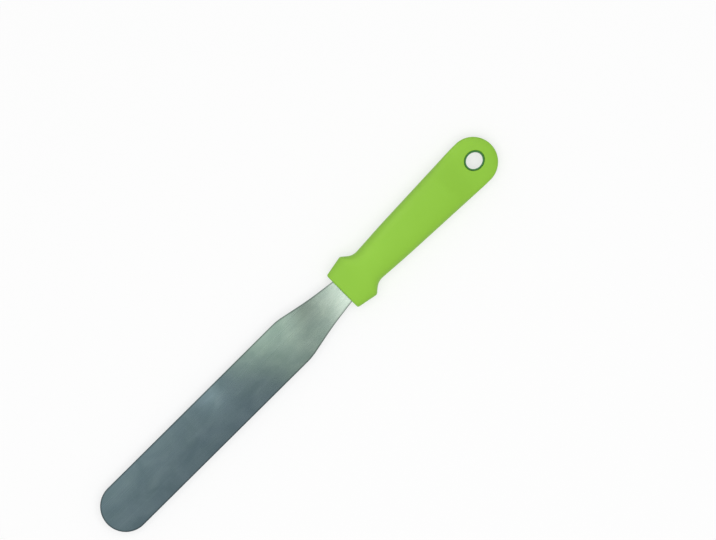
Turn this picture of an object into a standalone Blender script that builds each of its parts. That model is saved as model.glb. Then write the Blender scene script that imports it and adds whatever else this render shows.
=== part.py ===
"""A flat icing spatula: a stamped steel blade whose tang is held in a two-part moulded handle.

The blade lies flat, with its tip towards -X and the handle towards +X. The handle's underside touches Z = 0,
and the origin is halfway along the whole length. Every piece is modelled from one datum, the middle of the
handle's front face in the plane of the blade, so a local X is a distance behind that face.
"""

import math

import bmesh
import bpy
import numpy as np
from mathutils import Matrix, Vector

# Clearances and faceting
FIT_GAP = 0.0003  # between two pieces that touch on the real spatula
ARC_SAG = 0.00002  # how far a facet may lie inside the arc it stands for
WELD = 0.000002  # points this near each other are one
LONGEST_SPAN = 0.009  # between two cross-sections of the handle
SHORTEST_SPAN = 0.0002
GRIP_FACETS = 40  # round a cross-section of the grip
CORE_FACETS = 28  # round a cross-section of the core and of the space it fills
END_STEPS = 24  # round the half circle at the handle's end
FRONT_STEPS = 3  # round the edge of the handle's front face
OVERSHOOT = 0.002  # how far a cutter stands past what it cuts

# Blade
BLADE_REACH = 0.2021  # tip to the handle's front face
BLADE_WIDTH = 0.0313
TIP_THICKNESS = 0.0007
TANG_THICKNESS = 0.0010  # also the blade's thickness where it enters the handle
EDGE_ROUND = 0.00016
SHOULDER_REACH = 0.0413  # where the parallel edges end, ahead of the handle
SHOULDER_RADIUS = 0.040
HOLLOW_REACH = 0.0186  # where the drawn-in sides turn, ahead of the handle
HOLLOW_WIDTH = 0.0220
HOLLOW_RADIUS = 0.220
NECK_WIDTH = 0.0170
NECK_RADIUS = 0.012

# Tang, inside the handle
NECK_DEPTH = 0.0080  # how far the neck goes in at full width
TANG_SHOULDER_RADIUS = 0.0010
TANG_END_RADIUS = 0.0030
TANG_TO_HOLE = 0.0430  # tang's end to the middle of the hanging hole
LOCK_DIAMETER = 0.0050  # holes that the core's pegs fill
LOCK_MARGIN = 0.0100  # from a lock hole's middle to the tang's shoulder or end
LOCK_PITCH = 0.0180

# Handle's outline seen from above
HANDLE_LENGTH = 0.1279
FRONT_WIDTH = 0.0272
FRONT_ROUND = 0.0014
BOLSTER_LENGTH = 0.0138  # front face to the widest point of the flare
BOLSTER_WIDTH = 0.0325
BOLSTER_RADIUS = 0.0023
BOLSTER_DROP = 0.0062  # widest point of the flare to the waist
WAIST_WIDTH = 0.0220
WAIST_RADIUS = 0.0095
SWELL_LENGTH = 0.0250  # waist to where the sides open out more slowly
SWELL_WIDTH = 0.0252
SWELL_RADIUS = 0.400
END_RADIUS = 0.0153
PARALLEL_LENGTH = 0.0045  # where the sides stop widening, ahead of the end's half circle
PARALLEL_RADIUS = 0.100

# Handle's outline seen from the side
FRONT_THICKNESS = 0.0100
CROWN_LENGTH = 0.0190  # front face to where the crown stops rising
CROWN_THICKNESS = 0.0178
CROWN_RADIUS = 0.036
GRIP_THICKNESS = 0.0168  # where the scoop starts
END_THICKNESS = 0.0072
SCOOP_START = 0.0385  # ahead of the handle's end
SCOOP_END = 0.0240
SCOOP_START_RADIUS = 0.014
SCOOP_END_RADIUS = 0.026
SQUARENESS = 2.7  # exponent of the superellipse that every cross-section follows

# Hanging hole, a little longer than it is wide
HOLE_SETBACK = 0.0143  # middle of the hole to the handle's end
HOLE_LENGTH = 0.0136  # the hole in the grip
HOLE_WIDTH = 0.0122
EYELET_WALL = 0.0010
EYELET_RECESS = 0.0004  # the eyelet's rim lies this far under the grip's crown

# Inside the handle
SHELL_WALL = 0.0020  # grip moulding over the core
SHELL_FRONT_WALL = 0.0040
CORE_SIDE_WALL = 0.0024  # beside the tang
KEY_SETBACK = 0.0094  # tang's end to the middle of the window that the grip's post passes through
KEY_LENGTH = 0.0080
KEY_WIDTH = 0.0050

# Places that follow from the sizes above
BLADE_TIP = -BLADE_REACH
END_CENTRE = HANDLE_LENGTH - END_RADIUS
HOLE_CENTRE = HANDLE_LENGTH - HOLE_SETBACK
CORE_INSET = SHELL_WALL + FIT_GAP
TANG_WIDTH = WAIST_WIDTH - 2 * (CORE_INSET + CORE_SIDE_WALL + FIT_GAP)
TANG_END = HOLE_CENTRE - TANG_TO_HOLE
KEY_CENTRE = TANG_END + KEY_SETBACK
THROUGH_HANDLE = max(CROWN_THICKNESS, GRIP_THICKNESS) + 2 * OVERSHOOT


def material(name, colour, roughness, metallic):
    made = bpy.data.materials.new(name)
    made.use_nodes = True
    shader = made.node_tree.nodes["Principled BSDF"]
    shader.inputs["Base Color"].default_value = (*colour, 1)
    shader.inputs["Roughness"].default_value = roughness
    shader.inputs["Metallic"].default_value = metallic
    return made


def piece(name, mesh, datum):
    """An object at the datum, rounded faces smooth."""
    made = bpy.data.objects.new(name, mesh)
    bpy.context.scene.collection.objects.link(made)
    made.parent = datum
    mesh.shade_smooth()
    mesh.set_sharp_from_angle(angle=math.radians(30))
    return made


def shape_with(target, tool, operation):
    """Cut the target with a tool, or join the tool to it."""
    tool.hide_render = True
    tool.display_type = "WIRE"
    step = target.modifiers.new(tool.name, "BOOLEAN")
    step.operation = operation
    step.solver = "EXACT"
    step.object = tool


def rounded(corners, closed):
    """Points along a run of corners (x, y, radius), each turned as an arc that its sides have room for."""
    points = []
    for index, (x, y, radius) in enumerate(corners):
        corner = Vector((x, y))
        at_an_end = not closed and index in (0, len(corners) - 1)
        if at_an_end or radius == 0:
            points.append(corner)
            continue
        back = Vector(corners[index - 1][:2]) - corner
        ahead = Vector(corners[(index + 1) % len(corners)][:2]) - corner
        half_turn = (math.pi - back.angle(ahead)) / 2
        reach = min(radius * math.tan(half_turn), back.length / 2, ahead.length / 2)
        radius = reach / math.tan(half_turn)
        middle = (back.normalized() + ahead.normalized()).normalized()
        centre = corner + middle * radius / math.cos(half_turn)
        spoke = corner + back.normalized() * reach - centre
        side = 1 if back.cross(ahead) < 0 else -1
        steps = math.ceil(half_turn / math.acos(1 - ARC_SAG / radius))
        for step in range(steps + 1):
            turn = side * 2 * half_turn * step / steps
            points.append(centre + Matrix.Rotation(turn, 2) @ spoke)
    return points


def mirrored_outline(half):
    """A closed outline from the corners of its +Y half, listed from -X to +X."""
    other_half = [(x, -y, radius) for x, y, radius in reversed(half)]
    outline = rounded(half + other_half, closed=True)
    return [point for index, point in enumerate(outline) if (point - outline[index - 1]).length > WELD]


def plate(name, outline, half_thickness, crease=None):
    """A flat solid with this outline, half as thick as half_thickness(x) says on each side of its plane."""
    mesh = bpy.data.meshes.new(name)
    work = bmesh.new()
    work.faces.new([work.verts.new((point.x, point.y, 0)) for point in outline])
    if crease is not None:
        everything = work.verts[:] + work.edges[:] + work.faces[:]
        bmesh.ops.bisect_plane(work, geom=everything, plane_co=(crease, 0, 0), plane_no=(1, 0, 0))
    under = work.verts[:]
    raised = bmesh.ops.extrude_face_region(work, geom=work.faces[:], use_keep_orig=True)
    for vert in raised["geom"]:
        if isinstance(vert, bmesh.types.BMVert):
            vert.co.z = half_thickness(vert.co.x)
    for vert in under:
        vert.co.z = -half_thickness(vert.co.x)
    bmesh.ops.recalc_face_normals(work, faces=work.faces[:])
    work.to_mesh(mesh)
    work.free()
    return mesh


def oval(name, centre, length, width, height):
    """An upright oval pillar on the X axis, halfway through the blade's plane."""
    mesh = bpy.data.meshes.new(name)
    work = bmesh.new()
    sides = 2 * math.ceil(math.pi / (2 * math.acos(1 - ARC_SAG / (length / 2))))
    bmesh.ops.create_cone(
        work, cap_ends=True, segments=sides, radius1=1, radius2=1, depth=1,
        matrix=Matrix.Translation((centre, 0, 0)) @ Matrix.Diagonal((length / 2, width / 2, height, 1)),
    )
    work.to_mesh(mesh)
    work.free()
    return mesh


def lock_centres():
    """Where the tang's holes lie: evenly spaced between its shoulder and its end."""
    first = NECK_DEPTH + LOCK_MARGIN
    last = TANG_END - LOCK_MARGIN
    count = 1 + max(0, math.floor((last - first) / LOCK_PITCH))
    if count == 1:
        return [(first + last) / 2]
    return [first + (last - first) * index / (count - 1) for index in range(count)]


def tang_corners(clearance):
    """The neck and the tang inside the handle, from the front face back, or the slot that they fit."""
    return [
        (NECK_DEPTH + clearance, NECK_WIDTH / 2 + clearance, 0),
        (NECK_DEPTH + clearance, TANG_WIDTH / 2 + clearance, TANG_SHOULDER_RADIUS),
        (TANG_END + clearance, TANG_WIDTH / 2 + clearance, TANG_END_RADIUS + clearance),
    ]


def blade_half_thickness(x):
    """Even through the handle, thinning steadily from its front face to the tip."""
    share = min(max(-x / BLADE_REACH, 0), 1)
    return (TANG_THICKNESS + (TIP_THICKNESS - TANG_THICKNESS) * share) / 2


def make_blade(datum):
    visible = [
        (BLADE_TIP, BLADE_WIDTH / 2, BLADE_WIDTH / 2),
        (-SHOULDER_REACH, BLADE_WIDTH / 2, SHOULDER_RADIUS),
        (-HOLLOW_REACH, HOLLOW_WIDTH / 2, HOLLOW_RADIUS),
        (0, NECK_WIDTH / 2, NECK_RADIUS),
    ]
    outline = mirrored_outline(visible + tang_corners(0))
    blade = piece("blade", plate("blade", outline, blade_half_thickness, crease=0), datum)
    for number, centre in enumerate(lock_centres(), 1):
        name = f"lock_hole_{number}"
        height = TANG_THICKNESS + 2 * OVERSHOOT
        hole = piece(name, oval(name, centre, LOCK_DIAMETER, LOCK_DIAMETER, height), datum)
        shape_with(blade, hole, "DIFFERENCE")
    edges = blade.modifiers.new("deburred_edges", "BEVEL")
    edges.width = EDGE_ROUND
    edges.segments = 2
    edges.limit_method = "ANGLE"
    edges.angle_limit = math.radians(60)
    return blade


def handle_profiles():
    """Half width and half thickness of the handle against the distance behind its front face."""
    bolster = BOLSTER_LENGTH
    waist = BOLSTER_LENGTH + BOLSTER_DROP
    parallel = END_CENTRE - PARALLEL_LENGTH
    scoop_start = HANDLE_LENGTH - SCOOP_START
    scoop_end = HANDLE_LENGTH - SCOOP_END
    from_above = [
        (0, FRONT_WIDTH / 2, 0),
        (bolster, BOLSTER_WIDTH / 2, BOLSTER_RADIUS),
        (waist, WAIST_WIDTH / 2, WAIST_RADIUS),
        (waist + SWELL_LENGTH, SWELL_WIDTH / 2, SWELL_RADIUS),
        (parallel, END_RADIUS, PARALLEL_RADIUS),
        (END_CENTRE, END_RADIUS, 0),
    ]
    from_the_side = [
        (0, FRONT_THICKNESS / 2, 0),
        (CROWN_LENGTH, CROWN_THICKNESS / 2, CROWN_RADIUS),
        (scoop_start, GRIP_THICKNESS / 2, SCOOP_START_RADIUS),
        (scoop_end, END_THICKNESS / 2, SCOOP_END_RADIUS),
        (END_CENTRE, END_THICKNESS / 2, 0),
    ]
    return rounded(from_above, closed=False), rounded(from_the_side, closed=False)


def read_profile(profile, x):
    return float(np.interp(x, [point.x for point in profile], [point.y for point in profile]))


def stations(start):
    """Where the handle gets a cross-section, from start to the middle of its end circle."""
    from_above, from_the_side = handle_profiles()
    bends = sorted(point.x for point in from_above + from_the_side if start < point.x < END_CENTRE)
    kept = [start]
    for bend in bends + [END_CENTRE]:
        if bend - kept[-1] < SHORTEST_SPAN and bend < END_CENTRE:
            continue
        parts = math.ceil((bend - kept[-1]) / LONGEST_SPAN)
        first = kept[-1]
        kept += [first + (bend - first) * part / parts for part in range(1, parts + 1)]
    return kept


def superellipse(half_width, half_thickness, facets):
    """Points round a cross-section, from the crown's middle to +Y, under, and back by -Y."""
    ring = []
    for facet in range(facets):
        angle = 2 * math.pi * facet / facets
        across, up = math.sin(angle), math.cos(angle)
        ring.append((
            math.copysign(half_width * abs(across) ** (2 / SQUARENESS), across),
            math.copysign(half_thickness * abs(up) ** (2 / SQUARENESS), up),
        ))
    return ring


def cross_sections(inset, start):
    """Place, half width and half thickness of each cross-section from start back, drawn in by inset."""
    from_above, from_the_side = handle_profiles()
    return [
        (x, read_profile(from_above, x) - inset, read_profile(from_the_side, x) - inset)
        for x in stations(start)
    ]


def rounded_front(sections, radius):
    """Sections that lead from the first of these to the front face, round an edge of this radius."""
    x, half_width, half_thickness = sections[0]
    leading = []
    for step in range(FRONT_STEPS):
        angle = math.pi / 2 * step / FRONT_STEPS
        drawn_in = radius * (1 - math.sin(angle))
        leading.append((x - radius * math.cos(angle), half_width - drawn_in, half_thickness - drawn_in))
    return leading


def handle_form(name, inset, setback, facets, front_round=0):
    """The handle's outer form, or that form drawn in by inset and set back behind its front face."""
    sections = cross_sections(inset, setback + front_round)
    if front_round:
        sections = rounded_front(sections, front_round) + sections
    mesh = bpy.data.meshes.new(name)
    work = bmesh.new()
    rings = []
    for x, half_width, half_thickness in sections:
        section = superellipse(half_width, half_thickness, facets)
        rings.append([work.verts.new((x, y, z)) for y, z in section])
    work.faces.new(rings[0])
    for ring, following in zip(rings, rings[1:]):
        for index in range(facets):
            work.faces.new((ring[index - 1], ring[index], following[index], following[index - 1]))
    # the end is the last section's +Y half, turned half a circle round to its -Y half
    profile = rings[-1][: facets // 2 + 1]
    edges = [edge for edge in work.edges if set(edge.verts) <= set(profile)]
    bmesh.ops.spin(
        work, geom=profile + edges, cent=(END_CENTRE, 0, 0), axis=(0, 0, -1),
        angle=math.pi, steps=END_STEPS, use_duplicate=False,
    )
    bmesh.ops.remove_doubles(work, verts=work.verts[:], dist=WELD)
    bmesh.ops.recalc_face_normals(work, faces=work.faces[:])
    work.to_mesh(mesh)
    work.free()
    return mesh


def make_core(datum):
    """The hard moulding round the tang, with its pegs, its window for the grip's post, and its eyelet."""
    form = handle_form("handle_core", CORE_INSET, SHELL_FRONT_WALL + FIT_GAP, CORE_FACETS)
    core = piece("handle_core", form, datum)
    eyelet_length = HOLE_LENGTH - 2 * FIT_GAP
    eyelet_width = HOLE_WIDTH - 2 * FIT_GAP
    eyelet_height = END_THICKNESS - 2 * EYELET_RECESS
    bore_length = eyelet_length - 2 * EYELET_WALL
    bore_width = eyelet_width - 2 * EYELET_WALL
    rim = oval("eyelet_rim", HOLE_CENTRE, eyelet_length, eyelet_width, eyelet_height)
    bore = oval("eyelet_bore", HOLE_CENTRE, bore_length, bore_width, THROUGH_HANDLE)
    shape_with(core, piece("eyelet_rim", rim, datum), "UNION")
    shape_with(core, piece("eyelet_bore", bore, datum), "DIFFERENCE")
    shape_with(core, make_slot("core_slot", datum), "DIFFERENCE")
    for number, centre in enumerate(lock_centres(), 1):
        name = f"core_peg_{number}"
        diameter = LOCK_DIAMETER - 2 * FIT_GAP
        height = TANG_THICKNESS + 2 * (FIT_GAP + OVERSHOOT)
        shape_with(core, piece(name, oval(name, centre, diameter, diameter, height), datum), "UNION")
    window = oval("key_window", KEY_CENTRE, KEY_LENGTH, KEY_WIDTH, THROUGH_HANDLE)
    shape_with(core, piece("key_window", window, datum), "DIFFERENCE")
    return core


def make_slot(name, datum):
    """The space for the neck and the tang, open at the handle's front."""
    mouth = [(-OVERSHOOT, NECK_WIDTH / 2 + FIT_GAP, 0)]
    outline = mirrored_outline(mouth + tang_corners(FIT_GAP))
    return piece(name, plate(name, outline, lambda x: TANG_THICKNESS / 2 + FIT_GAP), datum)


def make_grip(datum):
    """The soft outer moulding: a shell over the core, with a post through the core's window."""
    form = handle_form("handle_grip", 0, 0, GRIP_FACETS, FRONT_ROUND)
    grip = piece("handle_grip", form, datum)
    space = handle_form("core_space", SHELL_WALL, SHELL_FRONT_WALL, CORE_FACETS)
    shape_with(grip, piece("core_space", space, datum), "DIFFERENCE")
    post_length = KEY_LENGTH - 2 * FIT_GAP
    post_width = KEY_WIDTH - 2 * FIT_GAP
    side_profile = handle_profiles()[1]
    thinnest = min(read_profile(side_profile, KEY_CENTRE + end * post_length / 2) for end in (-1, 1))
    post = oval("key_post", KEY_CENTRE, post_length, post_width, 2 * thinnest - SHELL_WALL)
    hole = oval("grip_hole", HOLE_CENTRE, HOLE_LENGTH, HOLE_WIDTH, THROUGH_HANDLE)
    shape_with(grip, piece("key_post", post, datum), "UNION")
    shape_with(grip, piece("grip_hole", hole, datum), "DIFFERENCE")
    shape_with(grip, make_slot("grip_slot", datum), "DIFFERENCE")
    return grip


def main():
    for old in list(bpy.data.objects):
        bpy.data.objects.remove(old)
    datum = bpy.data.objects.new("front_face_datum", None)
    deepest = max(half_thickness for _, _, half_thickness in cross_sections(0, FRONT_ROUND))
    datum.location = ((BLADE_REACH - HANDLE_LENGTH) / 2, 0, deepest)
    bpy.context.scene.collection.objects.link(datum)
    make_blade(datum).data.materials.append(material("stainless_steel", (0.36, 0.42, 0.43), 0.3, 1.0))
    make_core(datum).data.materials.append(material("hard_plastic", (0.07, 0.19, 0.05), 0.45, 0.0))
    make_grip(datum).data.materials.append(material("soft_plastic", (0.30, 0.58, 0.065), 0.5, 0.0))


main()
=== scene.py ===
"""The looks of a flat icing spatula: a satin steel blade in a soft green handle, seen straight from above.

Lengths are metres. The three pieces are modelled from one datum, the middle of the handle's front face in
the plane of the blade, so a local X is a distance behind that face, and each piece stands where its node
does.
"""

import math

import bmesh
import bpy
import numpy as np
from mathutils import Matrix, Vector


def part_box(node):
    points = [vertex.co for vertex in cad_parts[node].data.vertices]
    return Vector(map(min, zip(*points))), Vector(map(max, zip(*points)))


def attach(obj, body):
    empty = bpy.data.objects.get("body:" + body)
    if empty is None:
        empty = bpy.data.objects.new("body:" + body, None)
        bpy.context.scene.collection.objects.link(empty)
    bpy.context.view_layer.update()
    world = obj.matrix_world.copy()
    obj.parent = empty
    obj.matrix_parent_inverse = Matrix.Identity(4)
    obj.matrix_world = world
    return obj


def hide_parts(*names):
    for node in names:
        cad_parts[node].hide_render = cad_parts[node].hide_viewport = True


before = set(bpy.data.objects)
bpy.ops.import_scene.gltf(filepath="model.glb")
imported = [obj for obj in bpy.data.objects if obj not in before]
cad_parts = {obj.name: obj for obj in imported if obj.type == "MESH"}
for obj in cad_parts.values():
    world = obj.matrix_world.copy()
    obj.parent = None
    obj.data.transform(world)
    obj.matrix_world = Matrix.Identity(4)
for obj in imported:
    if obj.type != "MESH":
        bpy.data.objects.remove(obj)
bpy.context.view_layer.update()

# The photograph's frame, in the plane of the blade
FRAME_WIDTH = 0.4376
FRAME_TURN = math.radians(44.77)  # how far the spatula is turned in it
FRAME_CENTRE = (0.0532, 0.0026)  # X and Y of the point in its middle
LENS = 250.0  # millimetres, and so is the sensor
SENSOR = 36.0

# Blade: reaches are measured ahead of the handle's front face
BLADE_REACH = 0.2021  # to the tip
BLADE_WIDTH = 0.0313
TIP_THICKNESS = 0.0007
TANG_THICKNESS = 0.0010  # also the blade's thickness where it enters the handle
EDGE_ROUND = 0.00026
EDGE_SEGMENTS = 4
EDGE_ANGLE = math.radians(60)  # edges sharper than this are eased
EDGE_BAND = 0.0011  # strip of faces along the outline, which keeps the flats inside it whole and over which the steel's painted dark reflection fades
SHOULDER_REACH = 0.0413  # where the parallel edges end
SHOULDER_RADIUS = 0.040
HOLLOW_REACH = 0.0186  # where the drawn-in sides turn
HOLLOW_WIDTH = 0.0220
HOLLOW_RADIUS = 0.220
NECK_WIDTH = 0.0170
NECK_RADIUS = 0.012

# Tang, inside the handle
NECK_DEPTH = 0.0080  # how far the neck goes in at full width
TANG_WIDTH = 0.0120
TANG_SHOULDER_RADIUS = 0.0010
TANG_END = 0.0706
TANG_END_RADIUS = 0.0030
LOCK_DIAMETER = 0.0050  # holes that the core's pegs fill
LOCK_CENTRES = (0.0180, 0.0393, 0.0606)

# Handle's outline seen from above
HANDLE_LENGTH = 0.1279
FRONT_WIDTH = 0.0272
FRONT_ROUND = 0.0014
BOLSTER = 0.0138  # widest point of the flare
BOLSTER_WIDTH = 0.03249
BOLSTER_RADIUS = 0.0023
WAIST = 0.0200
WAIST_WIDTH = 0.0220
WAIST_RADIUS = 0.0095
SWELL = 0.0450  # where the sides open out more slowly
SWELL_WIDTH = 0.0252
SWELL_RADIUS = 0.400
END_RADIUS = 0.0153
PARALLEL_LENGTH = 0.0045  # where the sides stop widening, ahead of the end's half circle
PARALLEL_RADIUS = 0.100

# Handle's outline seen from the side
FRONT_THICKNESS = 0.0100
CROWN = 0.0190  # where the crown stops rising
CROWN_THICKNESS = 0.01778  # a hair under the node's, so that the skin stays inside its box
CROWN_RADIUS = 0.036
GRIP_THICKNESS = 0.0168  # where the scoop starts
END_THICKNESS = 0.0072
SCOOP_START = 0.0385  # ahead of the handle's end
SCOOP_END = 0.0240
SCOOP_START_RADIUS = 0.014
SCOOP_END_RADIUS = 0.026
SQUARENESS = 2.7  # exponent of the superellipse that every cross-section follows

# Hanging hole, a little longer than it is wide
HOLE_SETBACK = 0.0143  # middle of the hole to the handle's end
HOLE_LENGTH = 0.0133  # the hole in the grip, inside its rounded rim
HOLE_WIDTH = 0.0119
HOLE_ROUND = 0.0005
EYELET_LENGTH = 0.01306
EYELET_WIDTH = 0.01166
EYELET_WALL = 0.00103
EYELET_ROUND = 0.00030
EYELET_HALF_HEIGHT = 0.0032
EYELET_BITE = 0.00004  # the room cut for the eyelet is this much narrower, so that the two overlap

# Inside the grip
SHELL_WALL = 0.0020
SHELL_FRONT_WALL = 0.0040
POST_CENTRE = 0.0800  # the post that goes through the core's window
POST_LENGTH = 0.0074
POST_WIDTH = 0.0044
SLOT_CLEARANCE = 0.00006  # round the neck
SLOT_LEAD_IN = 0.00035  # how much the slot's mouth is eased
SLOT_LEAD_IN_ANGLE = 8  # degrees, where the easing's arc starts
SLOT_CORNER_EASING = 0.7  # share of the easing that goes into the corners' radius
OVERSHOOT = 0.001  # how far the slot's tool stands past what it cuts
CUT_HALF_HEIGHT = 0.012  # of a tool that cuts right through the handle

# Places that follow from the sizes above
END_CENTRE = HANDLE_LENGTH - END_RADIUS
HOLE_CENTRE = HANDLE_LENGTH - HOLE_SETBACK
BLADE_LOW, BLADE_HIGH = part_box("blade")
DATUM = Vector((BLADE_LOW.x + BLADE_REACH, 0, (BLADE_LOW.z + BLADE_HIGH.z) / 2))

# Fineness of the meshes
WELD = 0.0000008  # points this near each other are one
SHORTEST_SIDE = 0.0001  # and so are points this near along the blade's outline
ARC_STEP = math.radians(2.0)
FEWEST_ARC_STEPS = 4
CROSS_STEPS = 30  # from the crown to the side
BODY_STEPS = 190  # cross-sections from the front face to the start of the tail
TAIL_LEAD = 0.0130  # the tail starts this far ahead of the hanging hole's middle
APPROACH_STEPS = 10  # lines across the tail, before the hole
NEAR_STEPS = 26  # lines out from the near half of the rim
FAR_STEPS = 44  # lines out from the far half, to the half circle
FAN_LEAD = 0.0024  # how far ahead of the rim the first of these lines ends
FILLET_STEPS = 6
WALL_STEPS = 4
CORNER_STEPS = 6
LEAD_IN_STEPS = 6
ROOM_FACETS = 56  # round the room for the core
ROOM_STEPS = 60
ROOM_END_STEPS = 32
EYELET_SIDES = 144
LOCK_SIDES = 64
PILLAR_SIDES = 96
SECTION_SAMPLES = 4001
OUTLINE_SAMPLES = 6001
LINE_SAMPLES = 400
TURN_WEIGHT = 0.6  # of an outline's turn against its length, where cross-sections are spaced
SECTION_ASPECT = 1.6  # width against thickness, where side shares are spaced
SHARP_ANGLE = math.radians(40)
FLAT_ENOUGH = 0.999  # a face whose normal stands this upright is flat

# Patterns: a rate is how many times one changes in a metre, along X, Y and Z or alike all ways, a share is
# how far a colour is mixed in, and a bump is a strength and a height
NOISE_REACH = (0.3, 0.7)  # what a noise usually stays within

# Steel
STEEL_DEEP = (0.306, 0.372, 0.383)
STEEL_PALE = (0.426, 0.485, 0.491)
CLOUD_RATE = (60, 85, 85)
STEEL_BLUE = (0.345, 0.395, 0.445)
BLUE_SHARE = 0.35
TINT_RATE = (95, 130, 130)
STEEL_SCRATCH = (0.200, 0.240, 0.245)
SCRATCH_SHARE = 0.12
SCRATCH_REACH = (0.40, 0.62)  # of the grain's noise
GRAIN_RATE = (9, 3400, 3400)
GRAIN_BUMP = (0.09, 0.00002)
STEEL_WAVE_RATE = (16, 26, 26)  # a slow unevenness of the sheet
STEEL_WAVE_BUMP = (0.5, 0.0006)
# painted dark reflection along the eased edges, mixed in where the edge attribute is 1
STEEL_EDGE_SHADE = (0.070, 0.085, 0.085)
EDGE_SHADE_SHARE = 0.75
STEEL_ROUGHNESS = (0.25, 0.285)
STREAK_RATE = (9, 420, 420)
STEEL_ANISOTROPY = 0.45

# Soft plastic
SOFT_DEEP = (0.272, 0.566, 0.037)
SOFT_PALE = (0.290, 0.592, 0.045)
SOFT_MOTTLE_RATE = 60.0
SOFT_ROUGHNESS = (0.46, 0.56)
SOFT_WAVE_RATE = (40, 90, 90)
SOFT_PEBBLE_RATE = 4200.0
SOFT_PEBBLE_BUMP = (0.35, 0.00005)
SOFT_SPECULAR = 0.32

# Hard plastic
HARD_DEEP = (0.026, 0.160, 0.028)
HARD_PALE = (0.034, 0.185, 0.034)
HARD_MOTTLE_RATE = 260.0
HARD_ROUGHNESS = (0.36, 0.44)
HARD_FINE_RATE = 2600.0
HARD_FINE_BUMP = (0.15, 0.00002)

# Light and floor
WHITE = (1, 1, 1, 1)
AMBIENT = 0.42
LAMP_POWER = 39.0
LAMP_SIZE = 2.4
LAMP_PLACE = (-0.06, -0.18, 2.4)
FLOOR_RADIUS = 4.0
FLOOR_SIDES = 96
FLOOR_DROP = 0.00005  # below the spatula's underside
FLOOR_TONE = 0.38  # its colour where it is seen, which shows the shadow
FLOOR_LIFT = 0.63  # its own glow there, which brings it up to a pale white
FLOOR_BOUNCE = 0.80  # its colour for the light that it sends back to the object
FLOOR_CLEAR = (0.7, 2.2)  # distances from the middle between which it turns into plain white

# The card that the blade mirrors: a point of the blade sees about the same X and Y of the card
CARD_HEIGHT = 0.07  # above the blade
CARD_SIZE = 3.0
CARD_STRENGTH = 2.1
DRIFT_RATE = 22.0
DRIFT_REACH = 0.012  # how far the tones wander along
TONE_SLANT = 0.35  # metres along for each metre across
TONE_SPAN = (-0.25, 0.25)
TONES = [  # from beyond the tip to over the handle
    (-0.2500, (0.500, 0.540, 0.550)),
    (-0.1900, (0.200, 0.250, 0.260)),
    (-0.0425, (0.186, 0.228, 0.238)),
    (-0.0275, (0.250, 0.312, 0.265)),
    (-0.0125, (0.460, 0.540, 0.430)),
    (0.0000, (0.530, 0.610, 0.490)),
    (0.1500, (0.480, 0.500, 0.480)),
]
SHADE_SLANT = -0.75
SHADE_SPAN = (-0.05, 0.07)
SHADES = [  # over the neck: a dark band, then a warm glow
    (-0.0032, (0.98, 0.98, 0.98)),
    (0.0034, (0.54, 0.54, 0.54)),
    (0.0076, (0.56, 0.56, 0.56)),
    (0.0148, (1.02, 1.02, 0.99)),
    (0.0256, (0.84, 0.82, 0.78)),
    (0.0364, (3.20, 2.85, 2.75)),
    (0.0460, (3.20, 2.85, 2.75)),
    (0.0640, (0.85, 0.85, 0.85)),
]
SIDE_SPAN = (-0.12, 0.12)
SIDES = [  # across the blade
    (-0.1200, (1.00, 1.00, 1.00)),
    (-0.0528, (0.61, 0.61, 0.67)),
    (-0.0240, (0.59, 0.59, 0.64)),
    (0.0000, (0.79, 0.79, 0.80)),
    (0.0240, (1.13, 1.13, 1.13)),
]
SPOT_PLACE = (-0.0680, 0.0140, 0)  # a small bright spot
SPOT_RADII = (0.002, 0.010)
SPOT_GAIN = 2.4
PATCH_PLACE = (0.0130, 0.0120, 0)  # a dim patch beside the neck
PATCH_RADII = (0.003, 0.012)
STRIP_STRENGTH = 1.9  # a pale strip beside the handle, which lights its far shoulder
STRIP_START = (0.01, 0.06)  # X between which it comes in
STRIP_NEAR = (0.05, 0.08)  # Y between which it comes in
STRIP_FAR = (0.10, 0.16)  # Y between which it goes out


def rounded(corners, closed):
    """Points along a run of corners (x, y, radius), each turned as an arc that its sides have room for."""
    points = []
    for index, (x, y, radius) in enumerate(corners):
        corner = Vector((x, y))
        if radius == 0 or (not closed and index in (0, len(corners) - 1)):
            points.append(corner)
            continue
        back = Vector(corners[index - 1][:2]) - corner
        ahead = Vector(corners[(index + 1) % len(corners)][:2]) - corner
        half_turn = (math.pi - back.angle(ahead)) / 2
        reach = min(radius * math.tan(half_turn), back.length / 2, ahead.length / 2)
        radius = reach / math.tan(half_turn)
        middle = (back.normalized() + ahead.normalized()).normalized()
        centre = corner + middle * radius / math.cos(half_turn)
        spoke = corner + back.normalized() * reach - centre
        side = 1 if back.cross(ahead) < 0 else -1
        steps = max(FEWEST_ARC_STEPS, math.ceil(2 * half_turn / ARC_STEP))
        for step in range(steps + 1):
            points.append(centre + Matrix.Rotation(side * 2 * half_turn * step / steps, 2) @ spoke)
    return points


def profile(corners):
    """The same run as a table of x and y to read between."""
    points = rounded(corners, closed=False)
    return np.array([p.x for p in points]), np.array([p.y for p in points])


FROM_ABOVE = profile([
    (0, FRONT_WIDTH / 2, 0),
    (BOLSTER, BOLSTER_WIDTH / 2, BOLSTER_RADIUS),
    (WAIST, WAIST_WIDTH / 2, WAIST_RADIUS),
    (SWELL, SWELL_WIDTH / 2, SWELL_RADIUS),
    (END_CENTRE - PARALLEL_LENGTH, END_RADIUS, PARALLEL_RADIUS),
    (END_CENTRE, END_RADIUS, 0),
])
FROM_THE_SIDE = profile([
    (0, FRONT_THICKNESS / 2, 0),
    (CROWN, CROWN_THICKNESS / 2, CROWN_RADIUS),
    (HANDLE_LENGTH - SCOOP_START, GRIP_THICKNESS / 2, SCOOP_START_RADIUS),
    (HANDLE_LENGTH - SCOOP_END, END_THICKNESS / 2, SCOOP_END_RADIUS),
    (END_CENTRE, END_THICKNESS / 2, 0),
])


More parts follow.
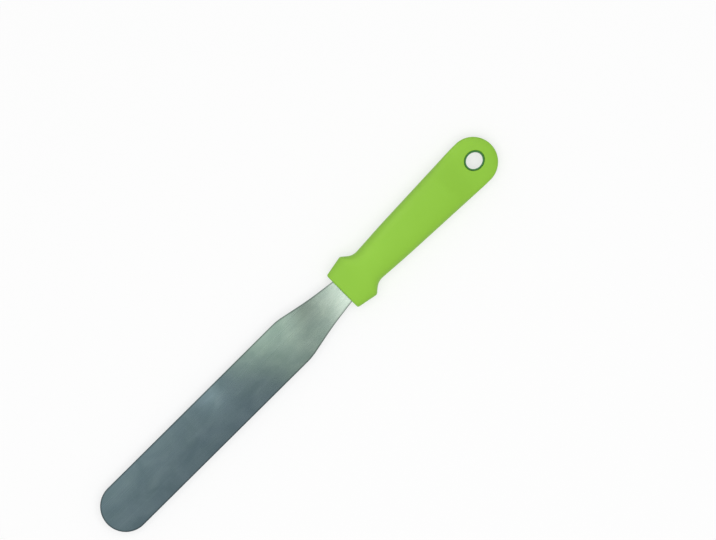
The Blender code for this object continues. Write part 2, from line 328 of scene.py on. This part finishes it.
def half_size(table, x):
    """Half a width or thickness at x, with the front face's rounded edge worked in."""
    x = np.asarray(x, float)
    plain = np.interp(x, *table)
    slope = math.atan2(table[1][1] - table[1][0], table[0][1] - table[0][0])
    touch = FRONT_ROUND * (1 - math.sin(slope))
    level = np.interp(touch, *table) - FRONT_ROUND * math.cos(slope)
    inside = np.clip(FRONT_ROUND - x, 0, FRONT_ROUND)
    return np.where(x < touch, level + np.sqrt(FRONT_ROUND**2 - inside**2), plain)


def height_share(side):
    """How high a cross-section stands at a side share: 1 on the crown, 0 at the outline."""
    return np.clip(1 - np.clip(side, 0, 1) ** SQUARENESS, 0, 1) ** (1 / SQUARENESS)


def side_share(x, y):
    """How far out a point of the plan lies: 0 on the middle line, 1 on the handle's outline."""
    x, y = np.asarray(x, float), np.asarray(y, float)
    past = np.maximum(x - END_CENTRE, 0)
    return np.where(x > END_CENTRE, np.hypot(past, y) / END_RADIUS, np.abs(y) / half_size(FROM_ABOVE, x))


def top_height(x, y):
    """How high the grip's skin stands above the blade's plane at a point of the plan."""
    thickness = half_size(FROM_THE_SIDE, np.minimum(x, END_CENTRE))
    return thickness * height_share(side_share(x, y))


def turning(x, y):
    """Length and turn of each step of a curve."""
    steps = np.hypot(np.diff(x), np.diff(y))
    angle = np.unwrap(np.arctan2(np.diff(y), np.diff(x)))
    turn = np.abs(np.diff(angle, prepend=angle[0]))
    return steps, turn


def spaced(values, weight, count):
    """Values where a running weight passes even steps."""
    total = np.concatenate([[0], np.cumsum(weight)])
    return np.interp(np.linspace(0, total[-1], count + 1), total, values)


def cross_shares(count):
    """Side shares from the crown to the side, close together where the section turns."""
    angle = np.linspace(0, math.pi / 2, SECTION_SAMPLES)
    y = np.sin(angle) ** (2 / SQUARENESS) * SECTION_ASPECT
    z = np.cos(angle) ** (2 / SQUARENESS)
    steps, turn = turning(y, z)
    return spaced(y / SECTION_ASPECT, steps / steps.sum() + turn / turn.sum(), count)


def stations(start, stop, count):
    """Places along the handle, close together where its outline turns."""
    x = np.linspace(start, stop, OUTLINE_SAMPLES)
    steps, wide = turning(x, half_size(FROM_ABOVE, x))
    _, thick = turning(x, half_size(FROM_THE_SIDE, x))
    turn = (wide + thick) / (wide + thick).sum()
    return spaced(x, steps / steps.sum() + TURN_WEIGHT * turn, count)


def oval(angle, offset, length=HOLE_LENGTH, width=HOLE_WIDTH):
    """A point at an offset from an oval round the hanging hole's middle."""
    a, b = length / 2, width / 2
    normal = np.array([math.cos(angle) / a, math.sin(angle) / b])
    normal /= np.linalg.norm(normal)
    return np.array([HOLE_CENTRE + a * math.cos(angle), b * math.sin(angle)]) + normal * offset


def hole_rim():
    """Spokes round the hanging hole at +Y: the angle, the skin's fall there and the rim's outer point."""
    angles = [math.pi * (1 - k / (2 * NEAR_STEPS)) for k in range(NEAR_STEPS)]
    angles += [math.pi / 2 * (1 - k / FAR_STEPS) for k in range(FAR_STEPS + 1)]
    spokes = []
    for angle in angles:
        fall = float(top_height(*oval(angle, HOLE_ROUND)) - top_height(*oval(angle, 2 * HOLE_ROUND)))
        slope = math.atan2(fall, HOLE_ROUND)
        spokes.append((angle, slope, oval(angle, HOLE_ROUND * (1 + math.sin(slope)))))
    return spokes


def tail_lines(spokes):
    """Lines of the plan from the middle line, or from the hole's rim, out to the handle's outline."""
    tail_start = HOLE_CENTRE - TAIL_LEAD
    rim_start = spokes[0][2][0]
    fan_start = rim_start - FAN_LEAD
    approach = [k / APPROACH_STEPS for k in range(1, APPROACH_STEPS)]
    inner = [np.array([tail_start + (rim_start - tail_start) * share, 0.0]) for share in approach]
    inner += [edge for _, _, edge in spokes]
    outer_x = [tail_start + (fan_start - tail_start) * share for share in approach]
    outer_x += [fan_start + (END_CENTRE - fan_start) * k / NEAR_STEPS for k in range(NEAR_STEPS)]
    outer = [np.array([x, float(half_size(FROM_ABOVE, x))]) for x in outer_x]
    for k in range(FAR_STEPS + 1):
        angle = math.pi / 2 * (1 - k / FAR_STEPS)
        outer.append(np.array([END_CENTRE + END_RADIUS * math.cos(angle), END_RADIUS * math.sin(angle)]))
    return zip(inner, outer)


def body_row(x, shares):
    """Points of the skin from the crown to the side at x."""
    half_width = float(half_size(FROM_ABOVE, x))
    half_thickness = float(half_size(FROM_THE_SIDE, x))
    return [(x, half_width * q, half_thickness * p) for q, p in zip(shares, height_share(shares))]


def tail_row(start, stop, shares):
    """Points of the skin over a line of the plan, spaced as the side shares beyond its start are."""
    along = np.linspace(0, 1, LINE_SAMPLES)
    line = start[None, :] + (stop - start)[None, :] * along[:, None]
    sides = side_share(line[:, 0], line[:, 1])
    index_of_share = np.linspace(0, 1, len(shares))
    first = np.interp(sides[0], shares, index_of_share)
    wanted = np.interp(np.linspace(first, 1, len(shares)), index_of_share, shares)
    reach = np.interp(wanted, sides, along)
    row = [(*start, float(top_height(*start)))]
    for share in reach[1:-1]:
        x, y = start + (stop - start) * share
        row.append((x, y, float(top_height(x, y))))
    return row + [(*stop, 0.0)]


def lining_row(angle, slope, edge):
    """Points round the hanging hole's rim and down its wall to the blade's plane."""
    top = float(top_height(*edge)) - HOLE_ROUND * math.cos(slope)
    down = []
    for step in range(FILLET_STEPS + 1):
        turn = -slope + (math.pi / 2 + slope) * step / FILLET_STEPS
        x, y = oval(angle, HOLE_ROUND * (1 - math.sin(turn)))
        down.append((x, y, top + HOLE_ROUND * math.cos(turn)))
    x, y = oval(angle, 0)
    return down + [(x, y, top * (1 - step / WALL_STEPS)) for step in range(1, WALL_STEPS + 1)]


def grip_quarter():
    """The grip at +Y and +Z as two sheets of points: its skin, and the lining of its hanging hole."""
    shares = cross_shares(CROSS_STEPS)
    spokes = hole_rim()
    skin = [body_row(x, shares) for x in stations(0, HOLE_CENTRE - TAIL_LEAD, BODY_STEPS)]
    skin += [tail_row(start, stop, shares) for start, stop in tail_lines(spokes)]
    return skin, [lining_row(*spoke) for spoke in spokes]


def plain_mesh(name, work):
    """The mesh of a shape as it stands."""
    mesh = bpy.data.meshes.new(name)
    work.to_mesh(mesh)
    work.free()
    return mesh


def closed_mesh(name, work):
    """The mesh of a closed shape, its faces turned outwards."""
    bmesh.ops.recalc_face_normals(work, faces=work.faces[:])
    return plain_mesh(name, work)


def bridge(work, loops):
    """Faces between each closed loop of points and the next."""
    for loop, following in zip(loops, loops[1:]):
        for k in range(len(loop)):
            work.faces.new((loop[k - 1], loop[k], following[k], following[k - 1]))


def mirrored_skin(name, sheets):
    """A closed mesh from sheets of one quarter, mirrored across the middle plane and the blade's plane."""
    work = bmesh.new()
    for sheet in sheets:
        for across in (1, -1):
            for up in (1, -1):
                grid = [[work.verts.new((x, y * across, z * up)) for x, y, z in row] for row in sheet]
                for row, following in zip(grid, grid[1:]):
                    for k in range(len(row) - 1):
                        work.faces.new((row[k], row[k + 1], following[k + 1], following[k]))
    bmesh.ops.remove_doubles(work, verts=work.verts[:], dist=WELD)
    front = [e for e in work.edges if e.is_boundary and max(v.co.x for v in e.verts) < WELD]
    bmesh.ops.edgeloop_fill(work, edges=front)
    bmesh.ops.dissolve_degenerate(work, dist=WELD, edges=work.edges[:])
    return closed_mesh(name, work)


def lofted(name, rings):
    """A closed mesh through rings of points, capped at both ends."""
    work = bmesh.new()
    loops = [[work.verts.new(point) for point in ring] for ring in rings]
    work.faces.new(loops[0])
    work.faces.new(loops[-1])
    bridge(work, loops)
    return closed_mesh(name, work)


def spun_end(name, sections):
    """A loft through the sections whose last one is turned round half a circle to make the end."""
    work = bmesh.new()
    rings = [[work.verts.new(point) for point in ring] for ring in sections]
    work.faces.new(rings[0])
    bridge(work, rings)
    half = rings[-1][: len(rings[-1]) // 2 + 1]
    edges = [edge for edge in work.edges if set(edge.verts) <= set(half)]
    bmesh.ops.spin(
        work, geom=half + edges, cent=(END_CENTRE, 0, 0), axis=(0, 0, -1),
        angle=math.pi, steps=ROOM_END_STEPS, use_duplicate=False,
    )
    bmesh.ops.remove_doubles(work, verts=work.verts[:], dist=WELD)
    return closed_mesh(name, work)


def superellipse(x, half_width, half_thickness):
    """A cross-section of the room for the core."""
    ring = []
    for k in range(ROOM_FACETS):
        angle = 2 * math.pi * k / ROOM_FACETS
        across, up = math.sin(angle), math.cos(angle)
        ring.append((
            x,
            math.copysign(half_width * abs(across) ** (2 / SQUARENESS), across),
            math.copysign(half_thickness * abs(up) ** (2 / SQUARENESS), up),
        ))
    return ring


def pillar(name, centre, length, width, half_height, sides=PILLAR_SIDES):
    """An upright oval prism, half above the blade's plane and half below."""
    rings = []
    for z in (-half_height, half_height):
        rings.append([
            (centre + length / 2 * math.cos(2 * math.pi * k / sides),
             width / 2 * math.sin(2 * math.pi * k / sides), z)
            for k in range(sides)
        ])
    return lofted(name, rings)


def placed(name, mesh):
    """An object for a mesh that is modelled from the datum."""
    made = bpy.data.objects.new(name, mesh)
    made.location = DATUM
    bpy.context.scene.collection.objects.link(made)
    return made


def settle(target):
    """Turn the modifiers' result into the object's own mesh."""
    bpy.context.view_layer.update()
    graph = bpy.context.evaluated_depsgraph_get()
    result = bpy.data.meshes.new_from_object(target.evaluated_get(graph))
    target.modifiers.clear()
    target.data = result


def combine(target, tool, operation):
    """Cut the tool from the target or join it on, and weld what falls together."""
    step = target.modifiers.new(operation, "BOOLEAN")
    step.operation = operation
    step.solver = "EXACT"
    step.object = tool
    settle(target)
    bpy.data.objects.remove(tool)
    work = bmesh.new()
    work.from_mesh(target.data)
    bmesh.ops.remove_doubles(work, verts=work.verts[:], dist=WELD / 10)
    work.to_mesh(target.data)
    work.free()


def hidden_space():
    """What the grip is hollowed by: the room for the core, less the post that crosses it, and the slot."""
    sections = []
    for x in stations(SHELL_FRONT_WALL, END_CENTRE, ROOM_STEPS):
        half_width = float(half_size(FROM_ABOVE, x)) - SHELL_WALL
        half_thickness = float(half_size(FROM_THE_SIDE, x)) - SHELL_WALL
        sections.append(superellipse(x, half_width, half_thickness))
    space = placed("space", spun_end("space", sections))
    post_ends = [POST_CENTRE - POST_LENGTH / 2, POST_CENTRE + POST_LENGTH / 2]
    thinnest = float(min(half_size(FROM_THE_SIDE, post_ends)))
    post = pillar("post", POST_CENTRE, POST_LENGTH, POST_WIDTH, thinnest - SHELL_WALL / 2)
    combine(space, placed("post", post), "DIFFERENCE")
    combine(space, placed("slot", slot_mesh()), "UNION")
    return space


def slot_mesh():
    """The slot that the neck goes in by, its mouth eased."""
    easing = []
    for step in range(LEAD_IN_STEPS + 1):
        turn = math.radians(SLOT_LEAD_IN_ANGLE + (90 - SLOT_LEAD_IN_ANGLE) * step / LEAD_IN_STEPS)
        easing.append((SLOT_LEAD_IN * (1 - math.cos(turn)), SLOT_LEAD_IN * (1 - math.sin(turn))))
    mouth = (-OVERSHOOT, easing[0][1])
    rings = []
    for x, wider in [mouth, *easing, (SHELL_FRONT_WALL + OVERSHOOT, 0)]:
        half_width = NECK_WIDTH / 2 + SLOT_CLEARANCE + wider
        half_thickness = TANG_THICKNESS / 2 + SLOT_CLEARANCE + wider
        radius = EDGE_ROUND + SLOT_CLEARANCE + wider * SLOT_CORNER_EASING
        corners = [(half_width, half_thickness), (-half_width, half_thickness),
                   (-half_width, -half_thickness), (half_width, -half_thickness)]
        ring = []
        for index, (y, z) in enumerate(corners):
            for step in range(CORNER_STEPS + 1):
                turn = math.pi / 2 * (index + step / CORNER_STEPS)
                ring.append((x, y - math.copysign(radius, y) + radius * math.cos(turn),
                             z - math.copysign(radius, z) + radius * math.sin(turn)))
        rings.append(ring)
    return lofted("slot", rings)


def finish_piece(made, node, look):
    """Give a plastic piece its look, and let it stand for its node."""
    made.data.materials.clear()
    made.data.materials.append(look)
    made.data.polygons.foreach_set("material_index", [0] * len(made.data.polygons))
    made.data.shade_smooth()
    made.data.set_sharp_from_angle(angle=SHARP_ANGLE)
    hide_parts(node)
    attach(made, "root")


def make_grip(look):
    """The soft outer moulding: its skin with the hanging hole, hollowed for the core and the neck."""
    grip = placed("soft_grip", mirrored_skin("soft_grip", grip_quarter()))
    combine(grip, hidden_space(), "DIFFERENCE")
    finish_piece(grip, "handle_grip", look)


def eyelet_mesh():
    """The ring in the hanging hole: a band with rounded edges, carried round the oval."""
    outline = []
    for index, (up, out) in enumerate(((1, 1), (1, -1), (-1, -1), (-1, 1))):
        height = up * EYELET_HALF_HEIGHT
        offset = 0 if out == 1 else -EYELET_WALL
        for step in range(CORNER_STEPS + 1):
            turn = math.pi / 2 * step / CORNER_STEPS
            sweep = (math.sin(turn), math.cos(turn))
            rise, reach = sweep if index % 2 == 0 else reversed(sweep)
            z = height - up * EYELET_ROUND * (1 - rise)
            outline.append((z, offset - out * EYELET_ROUND * (1 - reach)))
    work = bmesh.new()
    loops = []
    for k in range(EYELET_SIDES):
        angle = 2 * math.pi * k / EYELET_SIDES
        loops.append([work.verts.new((*oval(angle, offset, EYELET_LENGTH, EYELET_WIDTH), z))
                      for z, offset in outline])
    bridge(work, loops[-1:] + loops)
    return closed_mesh("eyelet", work)


def make_core(look):
    """The hard core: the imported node's own shape, with its eyelet turned anew in full roundness."""
    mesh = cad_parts["handle_core"].data.copy()
    mesh.transform(Matrix.Translation(-DATUM))
    core = placed("hard_core", mesh)
    room_length = EYELET_LENGTH - EYELET_BITE
    room_width = EYELET_WIDTH - EYELET_BITE
    room = pillar("eyelet_room", HOLE_CENTRE, room_length, room_width, CUT_HALF_HEIGHT)
    combine(core, placed("eyelet_room", room), "DIFFERENCE")
    combine(core, placed("eyelet", eyelet_mesh()), "UNION")
    finish_piece(core, "handle_core", look)


def blade_outline():
    """Points round the blade and its tang, the tip a half circle and every corner rounded."""
    half = [
        (-BLADE_REACH, BLADE_WIDTH / 2, BLADE_WIDTH / 2),
        (-SHOULDER_REACH, BLADE_WIDTH / 2, SHOULDER_RADIUS),
        (-HOLLOW_REACH, HOLLOW_WIDTH / 2, HOLLOW_RADIUS),
        (0, NECK_WIDTH / 2, NECK_RADIUS),
        (NECK_DEPTH, NECK_WIDTH / 2, 0),
        (NECK_DEPTH, TANG_WIDTH / 2, TANG_SHOULDER_RADIUS),
        (TANG_END, TANG_WIDTH / 2, TANG_END_RADIUS),
    ]
    points = rounded(half + [(x, -y, radius) for x, y, radius in reversed(half)], closed=True)
    return [p for index, p in enumerate(points) if (p - points[index - 1]).length > WELD]


def blade_half_thickness(x):
    """Half the plate's thickness at x, which falls evenly from the handle to the tip."""
    share = min(max(-x / BLADE_REACH, 0), 1)
    return (TANG_THICKNESS + (TIP_THICKNESS - TANG_THICKNESS) * share) / 2


def blade_plate():
    """Blade, neck and tang as one plate, whose thickness starts to fall at the handle's front face."""
    work = bmesh.new()
    work.faces.new([work.verts.new((p.x, p.y, 0)) for p in blade_outline()])
    everything = work.verts[:] + work.edges[:] + work.faces[:]
    bmesh.ops.bisect_plane(work, geom=everything, plane_co=(0, 0, 0), plane_no=(1, 0, 0))
    bmesh.ops.remove_doubles(work, verts=work.verts[:], dist=SHORTEST_SIDE)
    bmesh.ops.inset_region(
        work, faces=work.faces[:], thickness=EDGE_BAND, use_boundary=True, use_even_offset=True)
    under = work.verts[:]
    raised = bmesh.ops.extrude_face_region(work, geom=work.faces[:], use_keep_orig=True)
    for vert in raised["geom"]:
        if isinstance(vert, bmesh.types.BMVert):
            vert.co.z = blade_half_thickness(vert.co.x)
    for vert in under:
        vert.co.z = -blade_half_thickness(vert.co.x)
    return closed_mesh("steel_blade", work)


def map_across(mesh):
    """A map whose U runs across the blade, which tells the gloss how the grain lies."""
    across = mesh.uv_layers.new(name="across")
    corners = np.zeros(len(mesh.loops), np.int32)
    mesh.loops.foreach_get("vertex_index", corners)
    places = np.zeros(len(mesh.vertices) * 3)
    mesh.vertices.foreach_get("co", places)
    across.data.foreach_set("uv", places.reshape(-1, 3)[corners][:, 1::-1].ravel())


def mark_edge_shade(mesh):
    """A value of 1 on the points of every face that isn't flat, which marks where the steel's painted dark
    reflection goes.
    """
    eased = np.zeros(len(mesh.vertices))
    for face in mesh.polygons:
        if abs(face.normal.z) < FLAT_ENOUGH:
            eased[list(face.vertices)] = 1
    mesh.attributes.new("edge", "FLOAT", "POINT").data.foreach_set("value", eased)


def make_blade(look):
    """The steel strip with its lock holes, its edges eased all round."""
    blade = placed("steel_blade", blade_plate())
    for centre in LOCK_CENTRES:
        hole = pillar("lock_hole", centre, LOCK_DIAMETER, LOCK_DIAMETER, 2 * TANG_THICKNESS, LOCK_SIDES)
        combine(blade, placed("lock_hole", hole), "DIFFERENCE")
    blade.data.shade_smooth()
    edges = blade.modifiers.new("eased_edges", "BEVEL")
    edges.width = EDGE_ROUND
    edges.segments = EDGE_SEGMENTS
    edges.limit_method = "ANGLE"
    edges.angle_limit = EDGE_ANGLE
    edges.use_clamp_overlap = False
    edges.harden_normals = True
    settle(blade)
    blade.data.materials.clear()
    blade.data.materials.append(look)
    map_across(blade.data)
    mark_edge_shade(blade.data)
    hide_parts("blade")
    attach(blade, "root")


class Nodes:
    """A node tree, with short calls that add nodes to it."""

    def __init__(self, tree):
        self.tree = tree

    def node(self, kind, links=(), **values):
        """A new node, each of its inputs linked to a socket or set to a value."""
        made = self.tree.nodes.new(kind)
        for key, value in values.items():
            setattr(made, key, value)
        for socket, source in dict(links).items():
            if isinstance(source, bpy.types.NodeSocket):
                self.tree.links.new(source, made.inputs[socket])
            else:
                made.inputs[socket].default_value = source
        return made

    def math(self, operation, *values):
        """A sum, product or other step of arithmetic on sockets and numbers."""
        return self.node("ShaderNodeMath", enumerate(values), operation=operation).outputs[0]

    def ranged(self, value, low, high, to_low, to_high):
        """A value brought from one range into another, and held within it."""
        links = {"Value": value, "From Min": low, "From Max": high, "To Min": to_low, "To Max": to_high}
        return self.node("ShaderNodeMapRange", links).outputs[0]

    def seen_directly(self):
        """1 for rays that see a backdrop or its image in gloss or glass, 0 for the light that it sheds."""
        path = self.node("ShaderNodeLightPath").outputs
        mirrored = self.math("MAXIMUM", path["Is Glossy Ray"], path["Is Transmission Ray"])
        return self.math("MAXIMUM", path["Is Camera Ray"], mirrored)


class Look(Nodes):
    """A material, whose patterns lie in its object's own space."""

    def __init__(self, name):
        self.material = bpy.data.materials.new(name)
        self.material.use_nodes = True
        super().__init__(self.material.node_tree)
        self.shader = self.tree.nodes["Principled BSDF"]
        self.coordinates = self.tree.nodes.new("ShaderNodeTexCoord").outputs["Object"]

    def into(self, socket, source):
        """Lead a pattern into one of the shader's inputs."""
        self.tree.links.new(source, self.shader.inputs[socket])

    def made_of(self, shading):
        """Take a shading of its own in place of the usual shader."""
        self.tree.nodes.remove(self.shader)
        self.tree.links.new(shading.outputs[0], self.tree.nodes["Material Output"].inputs[0])
        return self.material

    def noise(self, rate, detail=2.0, roughness=0.5, distortion=0.0):
        """Noise at a rate, one number for all ways or one for each axis."""
        vector = self.coordinates
        if isinstance(rate, tuple):
            vector = self.node("ShaderNodeMapping", {"Vector": vector, "Scale": rate}).outputs[0]
            rate = 1.0
        links = {"Vector": vector, "Scale": rate, "Detail": detail, "Roughness": roughness,
                 "Distortion": distortion}
        return self.node("ShaderNodeTexNoise", links).outputs["Fac"]

    def spread(self, noise, low, high):
        """A noise stretched to run from low to high over its usual reach."""
        return self.ranged(noise, *NOISE_REACH, low, high)

    def bump(self, height, strength, distance, normal=None):
        """A surface that rises and falls with a pattern, on top of another one where it is given."""
        links = {"Height": height, "Strength": strength, "Distance": distance}
        if normal is not None:
            links["Normal"] = normal
        return self.node("ShaderNodeBump", links).outputs[0]

    def blend(self, share, first, second, blend_type="MIX"):
        """Two colours mixed, each a socket or three numbers."""
        first, second = (c if isinstance(c, bpy.types.NodeSocket) else (*c, 1) for c in (first, second))
        links = {0: share, 6: first, 7: second}
        return self.node("ShaderNodeMix", links, data_type="RGBA", blend_type=blend_type).outputs[2]

    def ramp(self, value, span, stops):
        """Colours that follow a value through stops (value, colour) within a span."""
        low, high = span
        made = self.node("ShaderNodeValToRGB", {"Fac": self.ranged(value, low, high, 0.0, 1.0)})
        elements = made.color_ramp.elements
        while len(elements) < len(stops):
            elements.new(0.5)
        for element, (at, colour) in zip(elements, stops):
            element.position = (at - low) / (high - low)
            element.color = (*colour, 1)
        return made.outputs[0]

    def round_about(self, place, radii, inside, outside):
        """A value that goes from one number at the first radius round a place to another at the second."""
        gap = self.node("ShaderNodeVectorMath", {0: self.coordinates, 1: place}, operation="DISTANCE")
        return self.ranged(gap.outputs["Value"], *radii, inside, outside)


def steel_look():
    """Satin steel: fine scratches and streaks along the blade, faint clouds and tints, and a painted dark
    reflection along its eased edges.
    """
    look = Look("stainless_steel")
    grain = look.noise(GRAIN_RATE, detail=3.0, roughness=0.6)
    streaks = look.noise(STREAK_RATE)
    clouds = look.noise(CLOUD_RATE, detail=3.0, distortion=0.5)
    tints = look.noise(TINT_RATE)
    wave = look.noise(STEEL_WAVE_RATE, detail=1.0)
    cloudy = look.blend(look.spread(clouds, 0.0, 1.0), STEEL_DEEP, STEEL_PALE)
    tinted = look.blend(look.spread(tints, 0.0, BLUE_SHARE), cloudy, STEEL_BLUE)
    scratches = look.ranged(grain, *SCRATCH_REACH, 0.0, SCRATCH_SHARE)
    scratched = look.blend(scratches, tinted, STEEL_SCRATCH)
    # the eased edges get a painted dark reflection, not a colour of the steel itself
    edge = look.node("ShaderNodeAttribute", attribute_name="edge").outputs["Fac"]
    look.into("Base Color", look.blend(look.math("MULTIPLY", edge, EDGE_SHADE_SHARE), scratched, STEEL_EDGE_SHADE))
    look.into("Roughness", look.spread(streaks, *STEEL_ROUGHNESS))
    across = look.node("ShaderNodeTangent", direction_type="UV_MAP", uv_map="across")
    look.into("Tangent", across.outputs[0])
    look.into("Normal", look.bump(wave, *STEEL_WAVE_BUMP, look.bump(grain, *GRAIN_BUMP)))
    look.shader.inputs["Metallic"].default_value = 1.0
    look.shader.inputs["Anisotropic"].default_value = STEEL_ANISOTROPY
    return look.material


def soft_look():
    """Matt soft plastic: a fine pebble, a slight mottle, and gloss that varies in slow waves."""
    look = Look("soft_green_plastic")
    pebble = look.noise(SOFT_PEBBLE_RATE, roughness=0.6)
    mottle = look.noise(SOFT_MOTTLE_RATE, detail=3.0)
    wave = look.noise(SOFT_WAVE_RATE)
    look.into("Base Color", look.blend(mottle, SOFT_DEEP, SOFT_PALE))
    look.into("Roughness", look.spread(wave, *SOFT_ROUGHNESS))
    look.into("Normal", look.bump(pebble, *SOFT_PEBBLE_BUMP))
    look.shader.inputs["Specular IOR Level"].default_value = SOFT_SPECULAR
    return look.material


def hard_look():
    """Smoother, darker plastic."""
    look = Look("hard_green_plastic")
    fine = look.noise(HARD_FINE_RATE)
    mottle = look.noise(HARD_MOTTLE_RATE)
    look.into("Base Color", look.blend(mottle, HARD_DEEP, HARD_PALE))
    look.into("Roughness", look.spread(fine, *HARD_ROUGHNESS))
    look.into("Normal", look.bump(fine, *HARD_FINE_BUMP))
    return look.material


def make_world():
    """An even pale light on the object, and plain white wherever the world is seen."""
    world = bpy.data.worlds.new("studio")
    bpy.context.scene.world = world
    world.use_nodes = True
    world.node_tree.nodes.clear()
    nodes = Nodes(world.node_tree)
    shed = nodes.node("ShaderNodeBackground", {"Color": WHITE, "Strength": AMBIENT})
    shown = nodes.node("ShaderNodeBackground", {"Color": WHITE, "Strength": 1.0})
    links = {0: nodes.seen_directly(), 1: shed.outputs[0], 2: shown.outputs[0]}
    nodes.node("ShaderNodeOutputWorld", {0: nodes.node("ShaderNodeMixShader", links).outputs[0]})


def make_floor():
    """A pale round floor that keeps the shadow, fades into the white world and is clear from below."""
    work = bmesh.new()
    bmesh.ops.create_circle(work, cap_ends=True, segments=FLOOR_SIDES, radius=FLOOR_RADIUS)
    mesh = plain_mesh("floor", work)
    floor = bpy.data.objects.new("floor", mesh)
    floor.location.z = -FLOOR_DROP
    bpy.context.scene.collection.objects.link(floor)
    look = Look("pale_floor")
    seen = look.seen_directly()
    near = look.round_about((0, 0, 0), FLOOR_CLEAR, 1.0, 0.0)
    tone = look.ranged(seen, 0.0, 1.0, FLOOR_BOUNCE, look.math("MULTIPLY", near, FLOOR_TONE))
    lift = look.math("MULTIPLY", seen, look.ranged(near, 0.0, 1.0, 1.0, FLOOR_LIFT))
    matt = look.node("ShaderNodeBsdfDiffuse", {"Color": tone})
    glow = look.node("ShaderNodeEmission", {"Strength": lift})
    both = look.node("ShaderNodeAddShader", {0: matt.outputs[0], 1: glow.outputs[0]})
    from_below = look.node("ShaderNodeNewGeometry").outputs["Backfacing"]
    clear = look.node("ShaderNodeBsdfTransparent")
    links = {0: from_below, 1: both.outputs[0], 2: clear.outputs[0]}
    mesh.materials.append(look.made_of(look.node("ShaderNodeMixShader", links)))


def card_look():
    """The card's glow: tones along it, a slanted band and glow over the neck, a fall across it, one bright
    spot, one dim patch, and a pale strip beside the handle."""
    look = Look("card_tone")
    split = look.node("ShaderNodeSeparateXYZ", {"Vector": look.coordinates})
    x, y = split.outputs["X"], split.outputs["Y"]
    drift = look.spread(look.noise(DRIFT_RATE), -DRIFT_REACH, DRIFT_REACH)
    along = look.math("ADD", look.math("MULTIPLY_ADD", y, TONE_SLANT, x), drift)
    slanted = look.math("MULTIPLY_ADD", y, SHADE_SLANT, x)
    toned = look.ramp(along, TONE_SPAN, TONES)
    shaded = look.blend(1.0, toned, look.ramp(slanted, SHADE_SPAN, SHADES), "MULTIPLY")
    sided = look.blend(1.0, shaded, look.ramp(y, SIDE_SPAN, SIDES), "MULTIPLY")
    spot = look.round_about(SPOT_PLACE, SPOT_RADII, SPOT_GAIN * CARD_STRENGTH, CARD_STRENGTH)
    patch = look.round_about(PATCH_PLACE, PATCH_RADII, 0.0, 1.0)
    strength = look.math("MULTIPLY", spot, patch)
    over_handle = look.ranged(x, *STRIP_START, 0.0, 1.0)
    past_handle = look.ranged(y, *STRIP_NEAR, 0.0, 1.0)
    within_strip = look.ranged(y, *STRIP_FAR, 1.0, 0.0)
    beside = look.math("MULTIPLY", past_handle, within_strip)
    strip = look.math("MULTIPLY", look.math("MULTIPLY", over_handle, beside), STRIP_STRENGTH)
    scaled = look.node("ShaderNodeVectorMath", {0: sided, "Scale": strength}, operation="SCALE")
    lifted = look.node("ShaderNodeVectorMath", {0: scaled.outputs[0], 1: strip}, operation="ADD")
    return look.made_of(look.node("ShaderNodeEmission", {"Color": lifted.outputs[0], "Strength": 1.0}))


def make_card():
    """A toned card above the spatula that only gloss sees, which the flat blade mirrors."""
    work = bmesh.new()
    bmesh.ops.create_grid(work, x_segments=1, y_segments=1, size=CARD_SIZE / 2)
    mesh = plain_mesh("ceiling_card", work)
    mesh.materials.append(card_look())
    card = bpy.data.objects.new("ceiling_card", mesh)
    card.location = (0, 0, DATUM.z + CARD_HEIGHT)
    bpy.context.scene.collection.objects.link(card)
    card.visible_camera = False
    card.visible_diffuse = False
    card.visible_transmission = False
    card.visible_volume_scatter = False
    card.visible_shadow = False


def make_lamp():
    """One wide soft light high above, a little towards the tip and the near side."""
    data = bpy.data.lights.new("softbox", "AREA")
    data.shape = "SQUARE"
    data.size = LAMP_SIZE
    data.energy = LAMP_POWER
    lamp = bpy.data.objects.new("softbox", data)
    lamp.location = LAMP_PLACE
    lamp.rotation_euler = Vector(LAMP_PLACE).to_track_quat("Z", "Y").to_euler()
    lamp.visible_camera = False
    lamp.visible_glossy = False
    bpy.context.scene.collection.objects.link(lamp)


def make_camera():
    """A long lens straight above, turned so that the spatula lies as it does in the photograph."""
    data = bpy.data.cameras.new("camera")
    data.lens = LENS
    data.sensor_width = SENSOR
    camera = bpy.data.objects.new("camera", data)
    distance = FRAME_WIDTH * LENS / SENSOR
    camera.location = (*FRAME_CENTRE, DATUM.z + distance)
    camera.rotation_euler = (0, 0, -FRAME_TURN)
    bpy.context.scene.collection.objects.link(camera)
    bpy.context.scene.camera = camera


make_world()
make_floor()
make_card()
make_lamp()
make_camera()
make_blade(steel_look())
make_core(hard_look())
make_grip(soft_look())
bpy.context.scene.view_settings.view_transform = "Standard"
